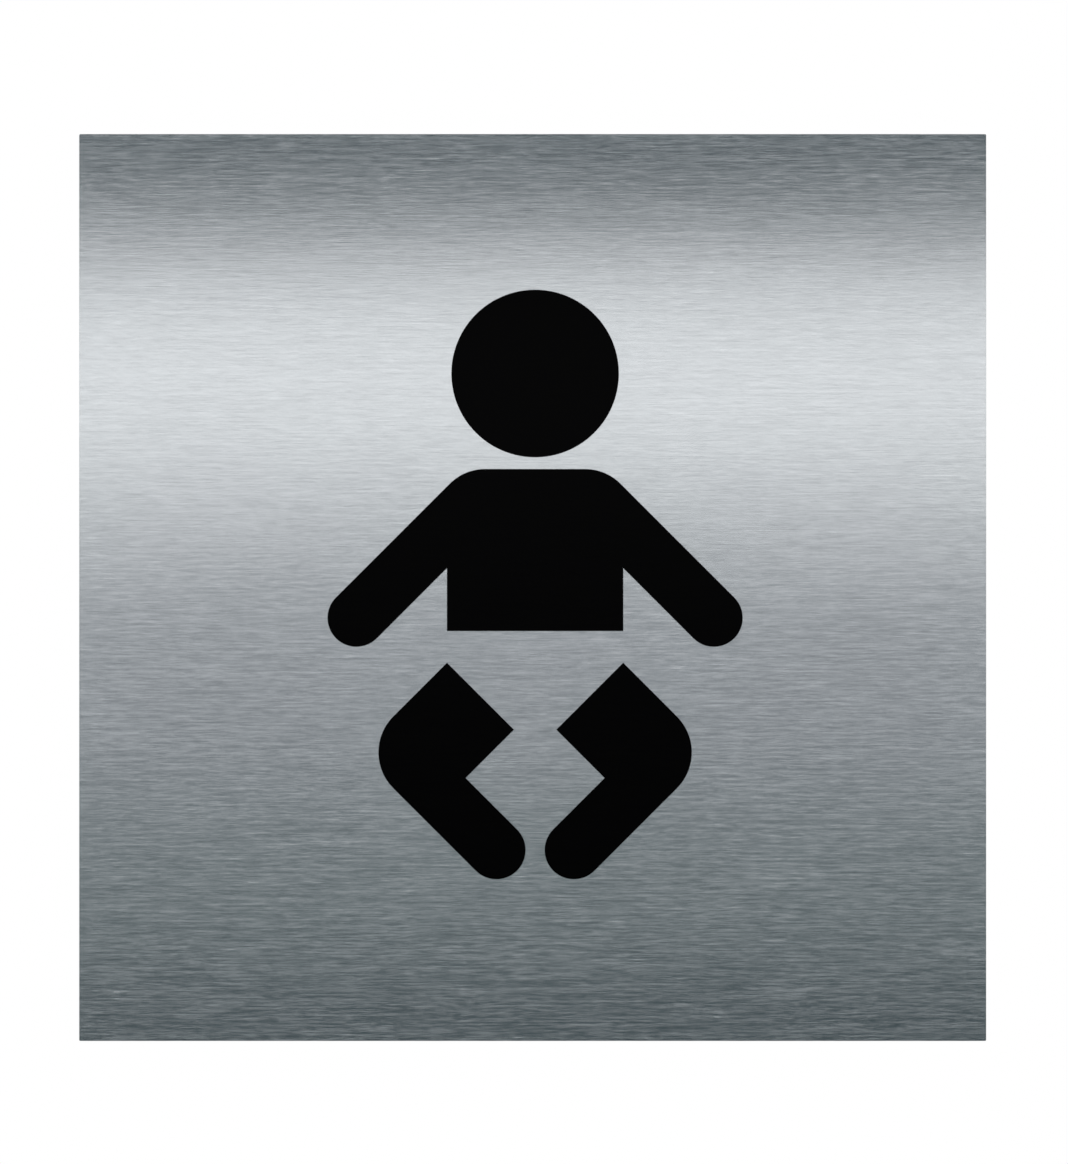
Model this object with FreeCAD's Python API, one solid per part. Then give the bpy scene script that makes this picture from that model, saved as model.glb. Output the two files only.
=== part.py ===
import FreeCAD, Part
import math
import os

# Nursery door sign: a square metal plate with the figure of a baby in a nappy on its front,
# cut from black adhesive film, and strips of foam tape on its back.
#
# Frame, in millimetres: the origin is the centre of the middle tape strip's door side. X points right
# for a person who faces the sign, Y points into the door and Z up, so the front looks along -Y.

# Plate
PLATE_WIDTH = 150.0
PLATE_HEIGHT = 150.0
PLATE_THICKNESS = 2.0
# Chamfer along the front and back edges, and the radius that it leaves at each corner of the faces
EDGE_BREAK = 0.1
CORNER_RADIUS = 0.1

# Tape strips, level with each other across the back
TAPE_WIDTH = 19.0
TAPE_THICKNESS = 1.0
# From the plate's left and right edges to the ends of the strips
TAPE_SIDE_MARGIN = 8.0
# From the plate's top and bottom edges to the outer strips
TAPE_TOP_MARGIN = 8.0

# Film figure; how far its middle stands to the right of and above the plate's own
FILM_THICKNESS = 0.1
FIGURE_RIGHT = 0.4
FIGURE_UP = 0.5

# Head
HEAD_DIAMETER = 27.7
NECK_GAP = 1.95

# Body and arms; the shoulder width is where the shoulder line would meet the arms' upper edges
SHOULDER_WIDTH = 23.4
SHOULDER_RADIUS = 8.2
BODY_WIDTH = 29.15
# Straight side of the body, from the armpit to the waist
BODY_SIDE = 10.4
ARM_WIDTH = 9.55
# Along the arm's upper edge, from the shoulder to the tip of the hand
ARM_LENGTH = 34.8
# Degrees below level
ARM_ANGLE = 45.0

# Legs; the nappy is the bare plate between the waist and the slanted ends of the thighs
NAPPY_SIDE = 5.25
THIGH_WIDTH = 15.65
# Inner edges of the thigh, from the nappy to the knee, and of the shin, from the knee to the toes
THIGH_LENGTH = 11.3
SHIN_LENGTH = 16.85
SHIN_WIDTH = 9.65
KNEE_RADIUS = 8.4
# Degrees below level at which the thigh points outwards; the shin stands square to it
THIGH_ANGLE = 45.0

# Depths along Y
TAPE_FRONT = -TAPE_THICKNESS
PLATE_FRONT = TAPE_FRONT - PLATE_THICKNESS

# Ends of two arcs nearer than this are one point
SAME_POINT = 1e-6


def heading(degrees):
    """Unit vector in the sign's plane, turned by degrees from +X towards +Z."""
    angle = math.radians(degrees)
    return FreeCAD.Vector(math.cos(angle), 0, math.sin(angle))


def mirrored(point):
    """The same point on the other side of the figure's middle line."""
    return FreeCAD.Vector(-point.x, point.y, point.z)


def corner_arc(before, corner, after, radius):
    """Start, middle and end of the arc that rounds a corner between its two neighbours."""
    back = (before - corner).normalize()
    ahead = (after - corner).normalize()
    half_angle = back.getAngle(ahead) / 2
    reach = radius / math.tan(half_angle)
    centre = corner + (back + ahead).normalize() * (radius / math.sin(half_angle))
    middle = centre + (corner - centre).normalize() * radius
    return corner + back * reach, middle, corner + ahead * reach


def rounded_outline(corners):
    """Closed wire through (point, radius) corners, with an arc at each corner that has a radius."""
    edges = []
    last_end = None
    for index, (point, radius) in enumerate(corners + corners[:1]):
        before = corners[index - 1][0]
        after = corners[(index + 1) % len(corners)][0]
        start, middle, end = point, point, point
        if radius > 0:
            start, middle, end = corner_arc(before, point, after, radius)
        if last_end is not None and last_end.distanceToPoint(start) > SAME_POINT:
            edges.append(Part.LineSegment(last_end, start).toShape())
        if radius > 0 and index < len(corners):
            edges.append(Part.Arc(start, middle, end).toShape())
        last_end = end
    return Part.Wire(edges)


def film_piece(outline):
    """Film cut along an outline, from the plate's front outwards."""
    film = Part.Face(outline).extrude(FreeCAD.Vector(0, -FILM_THICKNESS, 0))
    film.translate(FreeCAD.Vector(0, PLATE_FRONT, 0))
    return film


def sign_plate():
    """Square plate with small radii at its corners and a light chamfer round both faces."""
    half_width = PLATE_WIDTH / 2
    half_height = PLATE_HEIGHT / 2
    radius = CORNER_RADIUS + EDGE_BREAK
    corners = [(FreeCAD.Vector(half_width, 0, half_height), radius),
               (FreeCAD.Vector(half_width, 0, -half_height), radius),
               (FreeCAD.Vector(-half_width, 0, -half_height), radius),
               (FreeCAD.Vector(-half_width, 0, half_height), radius)]
    plate = Part.Face(rounded_outline(corners)).extrude(FreeCAD.Vector(0, -PLATE_THICKNESS, 0))
    face_edges = [edge for edge in plate.Edges if edge.BoundBox.YLength < SAME_POINT]
    plate = plate.makeChamfer(EDGE_BREAK, face_edges)
    plate.translate(FreeCAD.Vector(0, TAPE_FRONT, 0))
    return plate


def tape_strip(middle_height):
    """Strip of foam tape across the back, with its middle at the given height."""
    length = PLATE_WIDTH - 2 * TAPE_SIDE_MARGIN
    corner = FreeCAD.Vector(-length / 2, TAPE_FRONT, middle_height - TAPE_WIDTH / 2)
    return Part.makeBox(length, TAPE_THICKNESS, TAPE_WIDTH, corner)


def head_film():
    """Disc above the shoulder line, which is z = 0 for every piece of the figure."""
    middle = FreeCAD.Vector(0, 0, NECK_GAP + HEAD_DIAMETER / 2)
    rim = Part.Circle(middle, FreeCAD.Vector(0, 1, 0), HEAD_DIAMETER / 2)
    return film_piece(Part.Wire(rim.toShape()))


def armpit_and_waist():
    """The two corners of the body's right side, under the arm and at the waist."""
    under_arm = FreeCAD.Vector(SHOULDER_WIDTH / 2, 0, 0) - heading(90 - ARM_ANGLE) * ARM_WIDTH
    along = (BODY_WIDTH / 2 - under_arm.x) / math.cos(math.radians(ARM_ANGLE))
    armpit = under_arm + heading(-ARM_ANGLE) * along
    return armpit, armpit - FreeCAD.Vector(0, 0, BODY_SIDE)


def torso_film():
    """Body and both arms in one piece, with round shoulders and half-round hands."""
    shoulder = FreeCAD.Vector(SHOULDER_WIDTH / 2, 0, 0)
    hand_top = shoulder + heading(-ARM_ANGLE) * ARM_LENGTH
    hand_under = hand_top - heading(90 - ARM_ANGLE) * ARM_WIDTH
    armpit, waist = armpit_and_waist()
    right_half = [(shoulder, SHOULDER_RADIUS),
                  (hand_top, ARM_WIDTH / 2),
                  (hand_under, ARM_WIDTH / 2),
                  (armpit, 0),
                  (waist, 0)]
    left_half = [(mirrored(point), radius) for point, radius in reversed(right_half)]
    return film_piece(rounded_outline(right_half + left_half))


def right_leg_film():
    """Bent leg: a broad thigh that ends at the nappy, a round knee and a shin with round toes."""
    outwards = heading(-THIGH_ANGLE)
    inwards = heading(-THIGH_ANGLE - 90)
    hip = armpit_and_waist()[1] - FreeCAD.Vector(0, 0, NAPPY_SIDE)
    crotch = hip + inwards * THIGH_WIDTH
    knee_pit = crotch + outwards * THIGH_LENGTH
    knee = hip + outwards * (THIGH_LENGTH + SHIN_WIDTH)
    toes_inside = knee_pit + inwards * SHIN_LENGTH
    toes_outside = toes_inside + outwards * SHIN_WIDTH
    corners = [(hip, 0),
               (knee, KNEE_RADIUS),
               (toes_outside, SHIN_WIDTH / 2),
               (toes_inside, SHIN_WIDTH / 2),
               (knee_pit, 0),
               (crotch, 0)]
    return film_piece(rounded_outline(corners))


def baby_figure():
    """The four film pieces by name, with the whole figure set over the plate's middle."""
    right_leg = right_leg_film()
    figure = {
        "head_film": head_film(),
        "torso_film": torso_film(),
        "right_leg_film": right_leg,
        "left_leg_film": right_leg.mirror(FreeCAD.Vector(0, 0, 0), FreeCAD.Vector(1, 0, 0)),
    }
    middle = Part.makeCompound(list(figure.values())).BoundBox.Center
    for piece in figure.values():
        piece.translate(FreeCAD.Vector(FIGURE_RIGHT - middle.x, 0, FIGURE_UP - middle.z))
    return figure


def tape_strips():
    """The three strips by name, the outer two at one margin from the plate's top and bottom."""
    outer_height = PLATE_HEIGHT / 2 - TAPE_TOP_MARGIN - TAPE_WIDTH / 2
    return {
        "tape_top": tape_strip(outer_height),
        "tape_middle": tape_strip(0),
        "tape_bottom": tape_strip(-outer_height),
    }


os.makedirs("parts", exist_ok=True)
nodes = {"sign_plate": sign_plate(), **baby_figure(), **tape_strips()}
for name, shape in nodes.items():
    shape.exportStep(os.path.join("parts", name + ".step"))
    print(f"{name}: volume {shape.Volume:.2f} mm3, valid {shape.isValid()}, solids {len(shape.Solids)}")
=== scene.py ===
import logging
import math
from dataclasses import dataclass
from enum import Enum

import bmesh
import bpy
from mathutils import Matrix, Vector, noise


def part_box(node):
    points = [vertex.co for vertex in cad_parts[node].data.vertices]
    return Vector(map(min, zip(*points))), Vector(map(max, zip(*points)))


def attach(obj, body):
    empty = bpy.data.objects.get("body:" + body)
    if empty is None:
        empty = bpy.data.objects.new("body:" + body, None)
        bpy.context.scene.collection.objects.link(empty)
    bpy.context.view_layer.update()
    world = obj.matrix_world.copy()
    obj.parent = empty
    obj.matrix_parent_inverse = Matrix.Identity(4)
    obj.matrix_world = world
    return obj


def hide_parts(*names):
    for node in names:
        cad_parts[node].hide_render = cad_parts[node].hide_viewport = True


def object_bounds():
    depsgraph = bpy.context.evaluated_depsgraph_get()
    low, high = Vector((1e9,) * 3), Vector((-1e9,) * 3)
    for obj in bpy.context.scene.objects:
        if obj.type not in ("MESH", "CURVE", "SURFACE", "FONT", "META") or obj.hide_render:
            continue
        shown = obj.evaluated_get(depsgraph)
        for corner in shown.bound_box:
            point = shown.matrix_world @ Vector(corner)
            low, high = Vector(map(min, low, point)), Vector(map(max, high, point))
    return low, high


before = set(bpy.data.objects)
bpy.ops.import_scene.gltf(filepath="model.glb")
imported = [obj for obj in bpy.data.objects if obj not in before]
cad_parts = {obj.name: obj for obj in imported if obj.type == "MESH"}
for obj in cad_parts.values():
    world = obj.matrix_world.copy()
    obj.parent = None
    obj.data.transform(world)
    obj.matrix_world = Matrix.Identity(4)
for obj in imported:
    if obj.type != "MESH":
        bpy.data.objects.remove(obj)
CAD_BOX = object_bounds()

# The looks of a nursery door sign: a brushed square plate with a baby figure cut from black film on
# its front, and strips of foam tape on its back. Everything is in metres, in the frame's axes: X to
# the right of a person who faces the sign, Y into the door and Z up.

LOG = logging.getLogger("door_sign")
BODY = "root"
MM = 0.001
# Name of the map that the plate's faces are laid out on
FACE_MAP = "OFBake"
# Power of a flat lamp for each square metre, at which its colour is the brightness that a mirror shows
WATTS_PER_AREA = math.pi
# Slanted direction along which corners and faces are put in order, so that each run numbers them alike
ORDER = Vector((1.0, 31.7, 977.3))

Colour = tuple[float, float, float]
Value = bpy.types.NodeSocket | float | tuple[float, ...]


class Axis(Enum):
    """Two of the frame's axes, by their place in a vector."""

    X = 0
    Y = 1


class Side(Enum):
    """Which way a face of the sign looks."""

    FRONT = 0
    BACK = 1
    EDGE = 2


@dataclass(frozen=True)
class Patch:
    """One upright patch of the face map, from nought to one across and up the whole map."""

    left: float
    bottom: float
    width: float
    height: float

    def at(self, across: float, up: float) -> tuple[float, float]:
        """Where a point of the patch lies on the map, from its shares of the patch's width and height."""
        return (self.left + self.width * across, self.bottom + self.height * up)


@dataclass(frozen=True)
class Streak:
    """One layer of brush lines: how long and how fine its lines are, and its share of the pattern."""

    length: float
    width: float
    share: float


class Sheet:
    """A node tree, with short ways to add nodes and wire them."""

    def __init__(self, tree: bpy.types.NodeTree) -> None:
        """Takes the tree.

        Args:
            tree: the material's or the world's nodes.
        """
        self.tree = tree

    def node(self, kind: str, **settings: object) -> bpy.types.Node:
        """Adds a node.

        Args:
            kind: the node's type name.
            settings: properties of the node to set.

        Returns:
            The new node.
        """
        made = self.tree.nodes.new(kind)
        for name, value in settings.items():
            setattr(made, name, value)
        return made

    def feed(self, socket: bpy.types.NodeSocket, value: Value) -> None:
        """Links a socket to another one, or sets it to a plain value.

        Args:
            socket: the input to feed.
            value: an output, a number or a colour.
        """
        if isinstance(value, bpy.types.NodeSocket):
            self.tree.links.new(value, socket)
        else:
            socket.default_value = value

    def calc(self, operation: str, *values: Value) -> bpy.types.NodeSocket:
        """A Math node.

        Args:
            operation: the node's operation.
            values: its inputs in order.

        Returns:
            The result.
        """
        made = self.node("ShaderNodeMath", operation=operation)
        for socket, value in zip(made.inputs, values):
            self.feed(socket, value)
        return made.outputs["Value"]

    def smooth_step(self, value: bpy.types.NodeSocket, start: float, end: float) -> bpy.types.NodeSocket:
        """Nought before start, one after end, and a smooth rise between them.

        Args:
            value: what is compared.
            start: where the rise begins.
            end: where it ends.

        Returns:
            A value output from nought to one.
        """
        made = self.node("ShaderNodeMapRange", interpolation_type="SMOOTHSTEP")
        self.feed(made.inputs["Value"], value)
        self.feed(made.inputs["From Min"], start)
        self.feed(made.inputs["From Max"], end)
        return made.outputs["Result"]

    def mixed(self, share: bpy.types.NodeSocket, first: Value, second: Value) -> bpy.types.NodeSocket:
        """Two colours mixed.

        Args:
            share: how much of the second there is.
            first: the colour at a share of nought.
            second: the colour at a share of one.

        Returns:
            A colour output.
        """
        made = self.node("ShaderNodeMix", data_type="RGBA")
        colours = [socket for socket in made.inputs if socket.type == "RGBA"]
        self.feed(made.inputs["Factor"], share)
        self.feed(colours[0], first)
        self.feed(colours[1], second)
        return next(socket for socket in made.outputs if socket.type == "RGBA")


class ShaderSheet(Sheet):
    """A new material's nodes, which read the place on the piece."""

    def __init__(self, name: str) -> None:
        """Starts a material of that name with a Principled shader.

        Args:
            name: the material's name.
        """
        self.material = bpy.data.materials.new(name)
        self.material.use_nodes = True
        super().__init__(self.material.node_tree)
        self.shader = self.tree.nodes["Principled BSDF"]
        self.place = self.node("ShaderNodeTexCoord").outputs["Object"]

    def stretched(self, x: float, y: float, z: float) -> bpy.types.NodeSocket:
        """The place on the piece, counted in cells of x by y by z metres.

        Args:
            x: a cell's size along X.
            y: a cell's size along Y.
            z: a cell's size along Z.

        Returns:
            A vector output.
        """
        mapping = self.node("ShaderNodeMapping")
        self.feed(mapping.inputs["Vector"], self.place)
        self.feed(mapping.inputs["Scale"], (1 / x, 1 / y, 1 / z))
        return mapping.outputs["Vector"]

    def clouds(self, point: bpy.types.NodeSocket, detail: float = 2.0) -> bpy.types.NodeSocket:
        """Soft noise with features about one cell across.

        Args:
            point: the cell coordinates.
            detail: how many finer layers are added.

        Returns:
            A value output around nought, from about minus to plus a half.
        """
        made = self.node("ShaderNodeTexNoise")
        self.feed(made.inputs["Vector"], point)
        self.feed(made.inputs["Scale"], 1.0)
        self.feed(made.inputs["Detail"], detail)
        self.feed(made.inputs["Roughness"], 0.5)
        return self.calc("SUBTRACT", made.outputs["Fac"], 0.5)

    def around(self, middle: float, swing: bpy.types.NodeSocket, depth: float) -> bpy.types.NodeSocket:
        """A value that swings about its middle.

        Args:
            middle: the value where the swing is nought.
            swing: a pattern around nought.
            depth: what a swing of one adds.

        Returns:
            middle + swing * depth.
        """
        return self.calc("MULTIPLY_ADD", swing, depth, middle)

    def tinted(self, colour: Colour, strength: bpy.types.NodeSocket) -> bpy.types.NodeSocket:
        """A colour times a value.

        Args:
            colour: the colour at a strength of one.
            strength: the value.

        Returns:
            A colour output.
        """
        made = self.node("ShaderNodeVectorMath", operation="SCALE")
        self.feed(made.inputs[0], colour)
        self.feed(made.inputs["Scale"], strength)
        return made.outputs["Vector"]

    def relief(self, height: bpy.types.NodeSocket, depth: float) -> None:
        """Gives the surface a fine relief.

        Args:
            height: the pattern of heights.
            depth: how many metres a height of one stands up.
        """
        made = self.node("ShaderNodeBump")
        self.feed(made.inputs["Height"], height)
        self.feed(made.inputs["Distance"], depth)
        self.feed(self.shader.inputs["Normal"], made.outputs["Normal"])

    def dress(self, **values: Value) -> bpy.types.Material:
        """Sets the shader's inputs by name, with an underscore for each space.

        Args:
            values: what each input gets.

        Returns:
            The finished material.
        """
        for name, value in values.items():
            self.feed(self.shader.inputs[name.replace("_", " ")], value)
        return self.material

    def streaks(self, layers: tuple[Streak, ...]) -> bpy.types.NodeSocket:
        """Level brush lines, the sum of several layers.

        Args:
            layers: the layers of lines.

        Returns:
            A value output around nought.
        """
        total: Value = 0.0
        for layer in layers:
            cells = self.stretched(layer.length, layer.width, layer.width)
            total = self.calc("MULTIPLY_ADD", self.clouds(cells, detail=0.0), layer.share, total)
        return total


@dataclass(frozen=True)
class BrushedFinish:
    """Metal brushed in level lines, which spread its gloss up and down.

    The depths say how far the lines swing the colour, the share of bare metal and the height.
    """

    colour: Colour = (0.66, 0.69, 0.71)
    roughness: float = 0.2655
    metal: float = 0.92
    # How much the gloss is drawn out, and the part of a full turn that sets this across the lines
    spread: float = 0.5
    turn: float = 0.25
    layers: tuple[Streak, ...] = (
        Streak(1.0 * MM, 0.16 * MM, 0.46),
        Streak(1.8 * MM, 0.17 * MM, 0.62),
        Streak(3.2 * MM, 0.175 * MM, 0.68),
        Streak(5.5 * MM, 0.18 * MM, 0.57),
        Streak(9.0 * MM, 0.19 * MM, 0.47),
        Streak(20.0 * MM, 0.21 * MM, 0.40),
        Streak(16.0 * MM, 2.6 * MM, 0.10),
    )
    colour_depth: float = 0.21
    metal_depth: float = 0.30
    relief_depth: float = 4.0e-6

    def make(self) -> bpy.types.Material:
        """Builds the material.

        Returns:
            The finished material.
        """
        sheet = ShaderSheet("brushed_metal")
        lines = sheet.streaks(self.layers)
        along = sheet.node("ShaderNodeTangent", direction_type="UV_MAP", uv_map=FACE_MAP)
        sheet.relief(lines, self.relief_depth)
        return sheet.dress(
            Base_Color=sheet.tinted(self.colour, sheet.around(1.0, lines, self.colour_depth)),
            Roughness=self.roughness,
            Metallic=sheet.around(self.metal, lines, -self.metal_depth),
            Anisotropic=self.spread,
            Anisotropic_Rotation=self.turn,
            Tangent=along.outputs["Tangent"],
        )


@dataclass(frozen=True)
class RolledFinish:
    """Metal as it comes from the mill: duller, with faint long rolling lines and soft clouds."""

    colour: Colour = (0.60, 0.61, 0.62)
    roughness: float = 0.34
    layers: tuple[Streak, ...] = (Streak(60.0 * MM, 0.35 * MM, 0.5), Streak(30.0 * MM, 14.0 * MM, 0.3))
    colour_depth: float = 0.22
    roughness_depth: float = 0.22

    def make(self) -> bpy.types.Material:
        """Builds the material.

        Returns:
            The finished material.
        """
        sheet = ShaderSheet("rolled_metal")
        lines = sheet.streaks(self.layers)
        return sheet.dress(
            Base_Color=sheet.tinted(self.colour, sheet.around(1.0, lines, self.colour_depth)),
            Roughness=sheet.around(self.roughness, lines, self.roughness_depth),
            Metallic=1.0,
        )


@dataclass(frozen=True)
class CutFinish:
    """Sawn and deburred edges, with fine lines across the plate's thickness."""

    colour: Colour = (0.64, 0.66, 0.67)
    roughness: float = 0.32
    line_width: float = 0.14 * MM
    line_length: float = 1.6 * MM
    colour_depth: float = 0.4
    roughness_depth: float = 0.3
    relief_depth: float = 6.0e-6

    def make(self) -> bpy.types.Material:
        """Builds the material.

        Returns:
            The finished material.
        """
        sheet = ShaderSheet("cut_metal")
        cells = sheet.stretched(self.line_width, self.line_length, self.line_width)
        lines = sheet.clouds(cells)
        sheet.relief(lines, self.relief_depth)
        return sheet.dress(
            Base_Color=sheet.tinted(self.colour, sheet.around(1.0, lines, self.colour_depth)),
            Roughness=sheet.around(self.roughness, lines, self.roughness_depth),
            Metallic=1.0,
        )


@dataclass(frozen=True)
class FilmFinish:
    """Matte black adhesive film, so thin that the brush lines below it show a little."""

    colour: Colour = (0.0006, 0.0006, 0.0007)
    roughness: float = 0.42
    shine: float = 0.022
    layers: tuple[Streak, ...] = (Streak(2.6 * MM, 0.22 * MM, 0.4), Streak(9.0 * MM, 0.32 * MM, 0.3))
    grain: float = 0.09 * MM
    grain_share: float = 0.6
    colour_depth: float = 0.5
    roughness_depth: float = 0.25
    relief_depth: float = 4.0e-6

    def make(self) -> bpy.types.Material:
        """Builds the material.

        Returns:
            The finished material.
        """
        sheet = ShaderSheet("black_film")
        lines = sheet.streaks(self.layers)
        grain = sheet.clouds(sheet.stretched(self.grain, self.grain, self.grain))
        pattern = sheet.calc("MULTIPLY_ADD", grain, self.grain_share, lines)
        sheet.relief(pattern, self.relief_depth)
        return sheet.dress(
            Base_Color=sheet.tinted(self.colour, sheet.around(1.0, pattern, self.colour_depth)),
            Roughness=sheet.around(self.roughness, pattern, self.roughness_depth),
            Specular_IOR_Level=self.shine,
        )


@dataclass(frozen=True)
class FoamFinish:
    """Cut side of the foam tape: pale, with small closed cells."""

    colour: Colour = (0.80, 0.80, 0.77)
    roughness: float = 0.85
    shine: float = 0.3
    cell: float = 0.16 * MM
    # The colour's strength at a cell's middle, and what it gains a cell's size further out
    cell_strength: float = 1.1
    colour_depth: float = -0.3
    relief_depth: float = 3.0e-5

    def make(self) -> bpy.types.Material:
        """Builds the material.

        Returns:
            The finished material.
        """
        sheet = ShaderSheet("foam_side")
        cells = sheet.node("ShaderNodeTexVoronoi", feature="SMOOTH_F1")
        sheet.feed(cells.inputs["Vector"], sheet.stretched(self.cell, self.cell, self.cell))
        sheet.feed(cells.inputs["Scale"], 1.0)
        pores = cells.outputs["Distance"]
        sheet.relief(pores, self.relief_depth)
        return sheet.dress(
            Base_Color=sheet.tinted(self.colour, sheet.around(self.cell_strength, pores, self.colour_depth)),
            Roughness=self.roughness,
            Specular_IOR_Level=self.shine,
        )


@dataclass(frozen=True)
class TackFinish:
    """Sticky face of the foam tape: the foam seen through a thin glossy layer of adhesive."""

    colour: Colour = (0.84, 0.84, 0.82)
    roughness: float = 0.34
    shine: float = 0.45
    cell: float = 0.3 * MM
    cell_detail: float = 3.0
    ripple_width: float = 6.0 * MM
    ripple_height: float = 2.2 * MM
    colour_depth: float = 0.08
    roughness_depth: float = 0.3
    relief_depth: float = 2.5e-5

    def make(self) -> bpy.types.Material:
        """Builds the material.

        Returns:
            The finished material.
        """
        sheet = ShaderSheet("adhesive_face")
        cells = sheet.clouds(sheet.stretched(self.cell, self.cell, self.cell), self.cell_detail)
        ripple = sheet.clouds(sheet.stretched(self.ripple_width, self.ripple_width, self.ripple_height))
        pattern = sheet.calc("ADD", cells, ripple)
        sheet.relief(pattern, self.relief_depth)
        return sheet.dress(
            Base_Color=sheet.tinted(self.colour, sheet.around(1.0, pattern, self.colour_depth)),
            Roughness=sheet.around(self.roughness, pattern, self.roughness_depth),
            Specular_IOR_Level=self.shine,
        )


def finished(mesh: bmesh.types.BMesh, name: str, materials: list[bpy.types.Material]) -> bpy.types.Object:
    """Makes an object of a mesh that is in its place, riding on the sign.

    Args:
        mesh: the mesh, which is freed.
        name: the piece's name.
        materials: its materials, in the order of the faces' numbers.

    Returns:
        The object, at the origin.
    """
    mesh.verts.sort(key=lambda corner: corner.co.dot(ORDER))
    mesh.faces.sort(key=lambda face: face.calc_center_median().dot(ORDER))
    data = bpy.data.meshes.new(name)
    mesh.to_mesh(data)
    mesh.free()
    for material in materials:
        data.materials.append(material)
    piece = bpy.data.objects.new(name, data)
    bpy.context.scene.collection.objects.link(piece)
    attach(piece, BODY)
    LOG.info("%s: %d faces", name, len(data.polygons))
    return piece


def block(low: Vector, high: Vector) -> bmesh.types.BMesh:
    """A box between two corners.

    Args:
        low: its lowest corner.
        high: its highest corner.

    Returns:
        A new mesh of six faces.
    """
    mesh = bmesh.new()
    place = Matrix.Translation((low + high) / 2) @ Matrix.Diagonal((*(high - low), 1))
    bmesh.ops.create_cube(mesh, size=1.0, matrix=place)
    return mesh


def rounded(mesh: bmesh.types.BMesh, edges: list[bmesh.types.BMEdge], radius: float, segments: int) -> None:
    """Rounds edges.

    Args:
        mesh: the mesh.
        edges: the edges to round.
        radius: the radius.
        segments: how many faces the round has.
    """
    bmesh.ops.bevel(mesh, geom=edges, offset=radius, offset_type="OFFSET", segments=segments,
                    profile=0.5, affect="EDGES", material=-1)


def reach(edge: bmesh.types.BMEdge, axis: Axis) -> float:
    """How far an edge reaches along one axis.

    Args:
        edge: the edge.
        axis: the axis.

    Returns:
        A length in metres.
    """
    first, second = edge.verts
    return abs(first.co[axis.value] - second.co[axis.value])


def rim(mesh: bmesh.types.BMesh, depth: float) -> list[bmesh.types.BMEdge]:
    """The edges that lie all at one depth along Y.

    Args:
        mesh: the mesh.
        depth: the Y of the wanted edges.

    Returns:
        The edges.
    """
    near = 1e-6
    return [edge for edge in mesh.edges if all(abs(corner.co.y - depth) < near for corner in edge.verts)]


@dataclass
class Plate:
    """The square plate: brushed in front, rolled behind, cut at its edges."""

    corner_radius: float = 0.2 * MM
    edge_radius: float = 0.03 * MM
    segments: int = 4
    # How far a face's normal points along Y if the face counts as the front or the back
    flat: float = 0.999
    # Where the front, the back and the four edges lie on the face map
    front_patch: Patch = Patch(0.01, 0.01, 0.62, 0.92)
    back_patch: Patch = Patch(0.65, 0.01, 0.34, 0.92)
    edge_patches: tuple[Patch, ...] = (
        Patch(0.01, 0.945, 0.235, 0.045),
        Patch(0.255, 0.945, 0.235, 0.045),
        Patch(0.50, 0.945, 0.235, 0.045),
        Patch(0.745, 0.945, 0.235, 0.045),
    )

    def side_of(self, face: bmesh.types.BMFace) -> Side:
        """Which finish a face gets.

        Args:
            face: a face with its normal up to date.

        Returns:
            Its side.
        """
        if face.normal.y < -self.flat:
            return Side.FRONT
        return Side.BACK if face.normal.y > self.flat else Side.EDGE

    def map_faces(self, mesh: bmesh.types.BMesh) -> None:
        """Lays the faces out in the face map: the front gets most of it, and the edges a strip.

        Args:
            mesh: the finished mesh.
        """
        layout = mesh.loops.layers.uv.new(FACE_MAP)
        low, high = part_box("sign_plate")
        size = high - low
        for face in mesh.faces:
            side = self.side_of(face)
            for loop in face.loops:
                across = (loop.vert.co.x - low.x) / size.x
                up = (loop.vert.co.z - low.z) / size.z
                if side is Side.FRONT:
                    place = self.front_patch.at(across, up)
                elif side is Side.BACK:
                    place = self.back_patch.at(across, up)
                else:
                    deep = (loop.vert.co.y - low.y) / size.y
                    run = up if abs(face.normal.x) > abs(face.normal.z) else across
                    place = self.edge_patches[self.edge_of(face)].at(run, deep)
                loop[layout].uv = place

    def edge_of(self, face: bmesh.types.BMFace) -> int:
        """Which of the plate's four edges a face belongs to.

        Args:
            face: a face of the edges.

        Returns:
            Nought for the right edge, one for the left, two for the top and three for the bottom.
        """
        if abs(face.normal.x) > abs(face.normal.z):
            return 0 if face.normal.x > 0 else 1
        return 2 if face.normal.z > 0 else 3

    def build(self, brushed: bpy.types.Material, rolled: bpy.types.Material,
              cut: bpy.types.Material) -> bpy.types.Object:
        """Makes the plate in its place.

        Args:
            brushed: the front's material.
            rolled: the back's material.
            cut: the edges' material.

        Returns:
            The piece.
        """
        low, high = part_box("sign_plate")
        mesh = block(low, high)
        corners = [edge for edge in mesh.edges if reach(edge, Axis.Y) > self.corner_radius]
        rounded(mesh, corners, self.corner_radius, self.segments)
        rounded(mesh, rim(mesh, low.y) + rim(mesh, high.y), self.edge_radius, self.segments)
        mesh.normal_update()
        for face in mesh.faces:
            face.material_index = self.side_of(face).value
            face.smooth = face.material_index == Side.EDGE.value
        self.map_faces(mesh)
        plate = finished(mesh, "brushed_plate", [brushed, rolled, cut])
        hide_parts("sign_plate")
        return plate


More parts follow.
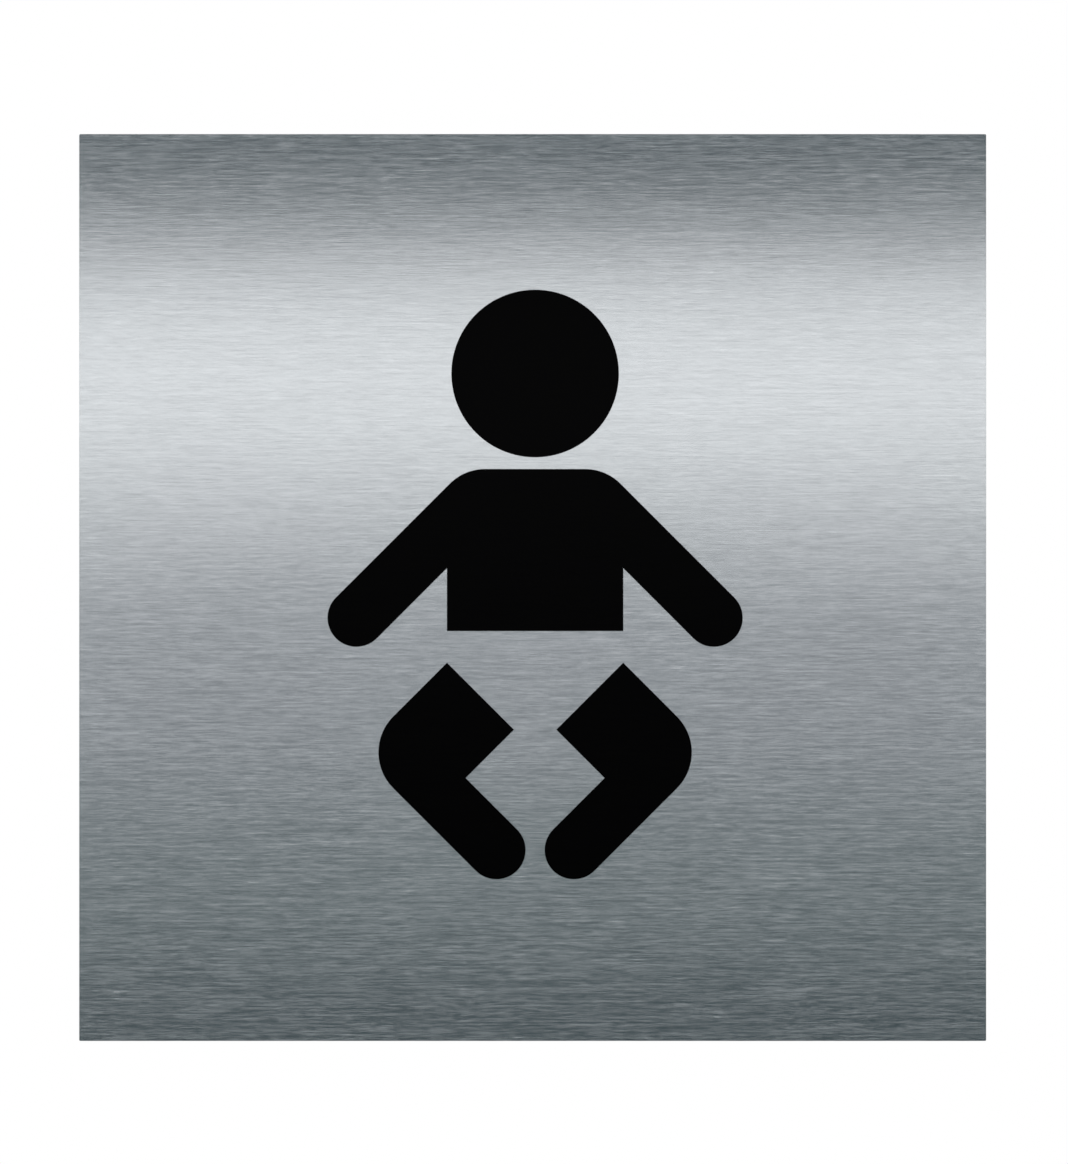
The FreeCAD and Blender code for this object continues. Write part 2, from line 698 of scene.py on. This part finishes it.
@dataclass
class FilmFigure:
    """The figure's four pieces of film, each with a softly rounded knife-cut rim."""

    rim_radius: float = 0.03 * MM
    segments: int = 2
    # Corners of the solid's triangles that are nearer than this are one; flatter bends are dissolved
    weld: float = 1e-7
    flat_angle: float = math.radians(0.5)

    def build_one(self, node: str, material: bpy.types.Material) -> bpy.types.Object:
        """Makes one piece from its solid's outline.

        Args:
            node: the solid's name.
            material: the film's material.

        Returns:
            The piece.
        """
        mesh = bmesh.new()
        mesh.from_mesh(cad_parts[node].data)
        bmesh.ops.remove_doubles(mesh, verts=mesh.verts, dist=self.weld)
        bmesh.ops.dissolve_limit(mesh, angle_limit=self.flat_angle, verts=mesh.verts, edges=mesh.edges,
                                 use_dissolve_boundaries=False)
        rounded(mesh, rim(mesh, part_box(node)[0].y), self.rim_radius, self.segments)
        piece = finished(mesh, node.replace("_film", "_cut_film"), [material])
        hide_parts(node)
        return piece

    def build(self, material: bpy.types.Material) -> list[bpy.types.Object]:
        """Makes the head, the torso and both legs.

        Args:
            material: the film's material.

        Returns:
            The pieces.
        """
        nodes = ("head_film", "torso_film", "left_leg_film", "right_leg_film")
        return [self.build_one(node, material) for node in nodes]


@dataclass
class TapeStrip:
    """A strip of foam tape: two sticky faces, soft cut sides that bow a little and ends cut by hand."""

    node: str
    left_skew: float
    right_skew: float
    bow: float = 0.12 * MM
    wave: float = 0.05 * MM
    wave_length: float = 9.0 * MM
    step: float = 2.0 * MM
    layers: int = 4
    # High, so that the cut of the ends moves the end faces and leaves the strip's middle alone
    end_power: int = 8
    # How far a face's normal points along Y if the face counts as sticky
    flat: float = 0.9

    def cut_back(self, right: bool, rise: float) -> float:
        """How far one end is cut back: a positive skew cuts more off its top, a negative one off its bottom.

        Args:
            right: whether it is the end towards +X.
            rise: the height on the end, from minus one at its bottom to one at its top.

        Returns:
            A length in metres.
        """
        skew = self.right_skew if right else self.left_skew
        return abs(skew) * (0.5 + math.copysign(0.5, skew) * rise)

    def shape(self, mesh: bmesh.types.BMesh, low: Vector, high: Vector) -> None:
        """Bows the cut sides, cuts the ends a little askew and lets the long sides wander.

        Args:
            mesh: the strip as a divided box.
            low: the box's lowest corner.
            high: the box's highest corner.
        """
        middle = (low + high) / 2
        half = (high - low) / 2
        for corner in mesh.verts:
            offset = corner.co - middle
            sunk = self.bow * (offset.y / half.y) ** 2
            ripple = noise.noise(Vector((corner.co.x / self.wave_length, offset.z, 0)))
            wander = self.wave * (0.5 + 0.5 * ripple)
            corner.co.z -= math.copysign((sunk + wander) * abs(offset.z / half.z), offset.z)
            slant = self.cut_back(offset.x > 0, offset.z / half.z)
            near_end = abs(offset.x / half.x) ** self.end_power
            corner.co.x -= math.copysign((sunk + slant) * near_end, offset.x)

    def build(self, foam: bpy.types.Material, tack: bpy.types.Material) -> bpy.types.Object:
        """Makes the strip in its place.

        Args:
            foam: the cut sides' material.
            tack: the sticky faces' material.

        Returns:
            The piece.
        """
        low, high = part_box(self.node)
        mesh = block(low, high)
        length, thickness = high.x - low.x, high.y - low.y
        long_edges = [edge for edge in mesh.edges if reach(edge, Axis.X) > self.step]
        cuts = round(length / self.step) - 1
        bmesh.ops.subdivide_edges(mesh, edges=long_edges, cuts=cuts, use_grid_fill=True)
        thin_edges = [edge for edge in mesh.edges if reach(edge, Axis.Y) > thickness / 2]
        bmesh.ops.subdivide_edges(mesh, edges=thin_edges, cuts=self.layers - 1, use_grid_fill=True)
        self.shape(mesh, low, high)
        mesh.normal_update()
        for face in mesh.faces:
            face.material_index = int(abs(face.normal.y) > self.flat)
            face.smooth = face.material_index == 0
        strip = finished(mesh, self.node.replace("tape_", "foam_strip_"), [foam, tack])
        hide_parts(self.node)
        return strip


@dataclass(frozen=True)
class Surround:
    """What the metal mirrors at one height above the horizon, in degrees."""

    height: float
    colour: Colour


@dataclass(frozen=True)
class Bar:
    """A level bar of the close light panel, between two heights over the sign's middle."""

    bottom: float
    top: float
    colour: Colour


@dataclass(frozen=True)
class Softbox:
    """A square soft lamp aimed at the sign: where it stands, its side, and its brightness."""

    name: str
    place: tuple[float, float, float]
    side: float
    brightness: float


@dataclass
class Studio:
    """White background, pale floor, soft lamps, and a light panel close in front of the sign.

    The panel's four bars grow brighter upwards and stop short of the sign's top, so that brushed metal
    shows one bright level band with a long soft fall below it. The camera doesn't see them.
    """

    ambient: float = 0.62
    front: tuple[Surround, ...] = (
        Surround(-32, (0.9, 0.9, 0.9)),
        Surround(-24, (0.0, 0.019, 0.018)),
        Surround(24, (0.0, 0.034, 0.056)),
        Surround(32, (0.9, 0.9, 0.9)),
    )
    behind: Colour = (0.62, 0.62, 0.62)
    behind_start: float = -0.1
    behind_end: float = 0.3
    bars: tuple[Bar, ...] = (
        Bar(22.4 * MM, 60.8 * MM, (1.083, 1.052, 1.044)),
        Bar(5.5 * MM, 22.4 * MM, (0.664, 0.652, 0.646)),
        Bar(-35.6 * MM, 5.5 * MM, (0.303, 0.294, 0.302)),
        Bar(-68.6 * MM, -35.6 * MM, (0.130, 0.140, 0.137)),
    )
    bar_width: float = 0.6
    bar_gap: float = 80.0 * MM
    softboxes: tuple[Softbox, ...] = (
        Softbox("key_softbox", (-0.9, -1.1, 1.2), 1.0, 3.0),
        Softbox("back_softbox", (0.8, 1.3, 1.3), 1.0, 2.0),
    )
    floor_depth: float = 0.5
    floor_radius: float = 1.1
    floor_fade: float = 0.4
    floor_segments: int = 96
    floor_colour: Colour = (0.86, 0.86, 0.86)
    floor_roughness: float = 0.9

    def world(self) -> None:
        """White for the camera, even soft light on the sign, and pale surroundings for its metal."""
        world = bpy.data.worlds.new("pale_studio")
        bpy.context.scene.world = world
        world.use_nodes = True
        sheet = Sheet(world.node_tree)
        split = sheet.node("ShaderNodeSeparateXYZ")
        sheet.feed(split.inputs[0], sheet.node("ShaderNodeTexCoord").outputs["Generated"])
        ahead = sheet.node("ShaderNodeValToRGB")
        sheet.feed(ahead.inputs["Fac"], sheet.calc("MULTIPLY_ADD", split.outputs["Z"], 0.5, 0.5))
        # A new ramp has a first and a last point: the first is used and the last taken out
        points = ahead.color_ramp.elements
        for index, part in enumerate(self.front):
            where = 0.5 + 0.5 * math.sin(math.radians(part.height))
            point = points[0] if index == 0 else points.new(where)
            point.position = where
            point.color = (*part.colour, 1)
        points.remove(points[-1])
        around = sheet.smooth_step(split.outputs["Y"], self.behind_start, self.behind_end)
        mirrored = sheet.mixed(around, ahead.outputs["Color"], (*self.behind, 1))
        path = sheet.node("ShaderNodeLightPath").outputs
        by_gloss = sheet.calc("MAXIMUM", path["Is Glossy Ray"], path["Is Transmission Ray"])
        lit = sheet.mixed(by_gloss, (self.ambient, self.ambient, self.ambient, 1), mirrored)
        seen = sheet.mixed(path["Is Camera Ray"], lit, (1, 1, 1, 1))
        sheet.feed(sheet.tree.nodes["Background"].inputs["Color"], seen)

    def light_panel(self) -> None:
        """Hangs the bars of the panel in front of the sign."""
        sign_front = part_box("sign_plate")[0].y
        for number, bar in enumerate(self.bars):
            height = bar.top - bar.bottom
            place = Vector((0, sign_front - self.bar_gap, (bar.top + bar.bottom) / 2))
            lamp = self.lamp(f"panel_bar_{number}", place, (self.bar_width, height), bar.colour)
            lamp.rotation_euler = (math.radians(90), 0, 0)
            lamp.visible_camera = False

    def floor(self) -> None:
        """A pale round floor well below the sign, which fades into the white at its rim."""
        mesh = bmesh.new()
        bmesh.ops.create_circle(mesh, cap_ends=True, segments=self.floor_segments, radius=self.floor_radius,
                                matrix=Matrix.Translation((0, 0, CAD_BOX[0].z - self.floor_depth)))
        data = bpy.data.meshes.new("floor")
        mesh.to_mesh(data)
        mesh.free()
        floor = bpy.data.objects.new("floor", data)
        bpy.context.scene.collection.objects.link(floor)
        sheet = ShaderSheet("pale_floor")
        flat = sheet.node("ShaderNodeVectorMath", operation="MULTIPLY")
        sheet.feed(flat.inputs[0], sheet.place)
        sheet.feed(flat.inputs[1], (1, 1, 0))
        out = sheet.node("ShaderNodeVectorMath", operation="LENGTH")
        sheet.feed(out.inputs[0], flat.outputs["Vector"])
        fade = sheet.smooth_step(out.outputs["Value"], self.floor_radius, self.floor_radius - self.floor_fade)
        data.materials.append(
            sheet.dress(Base_Color=(*self.floor_colour, 1), Roughness=self.floor_roughness, Alpha=fade))

    def lamp(self, name: str, place: Vector, size: tuple[float, float], colour: Colour) -> bpy.types.Object:
        """A flat soft lamp aimed at the sign.

        Args:
            name: the lamp's name.
            place: where it stands.
            size: its width and height.
            colour: its brightness as something white sees it.

        Returns:
            The lamp.
        """
        data = bpy.data.lights.new(name, "AREA")
        data.shape = "RECTANGLE"
        data.size, data.size_y = size
        data.color = colour
        data.energy = WATTS_PER_AREA * math.prod(size)
        lamp = bpy.data.objects.new(name, data)
        lamp.location = place
        lamp.rotation_euler = (-place).to_track_quat("-Z", "Y").to_euler()
        bpy.context.scene.collection.objects.link(lamp)
        return lamp

    def build(self) -> None:
        """Sets up the whole studio."""
        self.world()
        self.floor()
        self.light_panel()
        for box in self.softboxes:
            self.lamp(box.name, Vector(box.place), (box.side, box.side), (box.brightness,) * 3)


@dataclass
class Camera:
    """Square on to the front, framed as the photograph: 1068 by 1164 of its pixels."""

    frame_width: int = 1068
    frame_height: int = 1164
    plate_pixels: float = 907.0
    plate_middle: tuple[float, float] = (532.7, 587.5)
    distance: float = 0.8
    nearest: float = 0.01

    def build(self) -> None:
        """Places the camera and makes it the scene's."""
        low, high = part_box("sign_plate")
        pixel = (high.x - low.x) / self.plate_pixels
        data = bpy.data.cameras.new("front_view")
        data.lens = data.sensor_width * self.distance / (pixel * self.frame_height)
        data.clip_start = self.nearest
        camera = bpy.data.objects.new("front_view", data)
        camera.location = (
            (low.x + high.x) / 2 + (self.frame_width / 2 - self.plate_middle[0]) * pixel,
            low.y - self.distance,
            (low.z + high.z) / 2 + (self.plate_middle[1] - self.frame_height / 2) * pixel,
        )
        camera.rotation_euler = (math.radians(90), 0, 0)
        bpy.context.scene.collection.objects.link(camera)
        bpy.context.scene.camera = camera


def main() -> None:
    """Builds the sign and its studio in order."""
    logging.basicConfig(level=logging.INFO, format="%(name)s: %(message)s")
    Camera().build()
    Plate().build(BrushedFinish().make(), RolledFinish().make(), CutFinish().make())
    FilmFigure().build(FilmFinish().make())
    foam, tack = FoamFinish().make(), TackFinish().make()
    for strip in (
        TapeStrip("tape_top", left_skew=0.12 * MM, right_skew=-0.28 * MM),
        TapeStrip("tape_middle", left_skew=-0.2 * MM, right_skew=-0.08 * MM),
        TapeStrip("tape_bottom", left_skew=0.3 * MM, right_skew=0.16 * MM),
    ):
        strip.build(foam, tack)
    Studio().build()
    bpy.context.scene.view_settings.view_transform = "Standard"


if __name__ == "__main__":
    main()
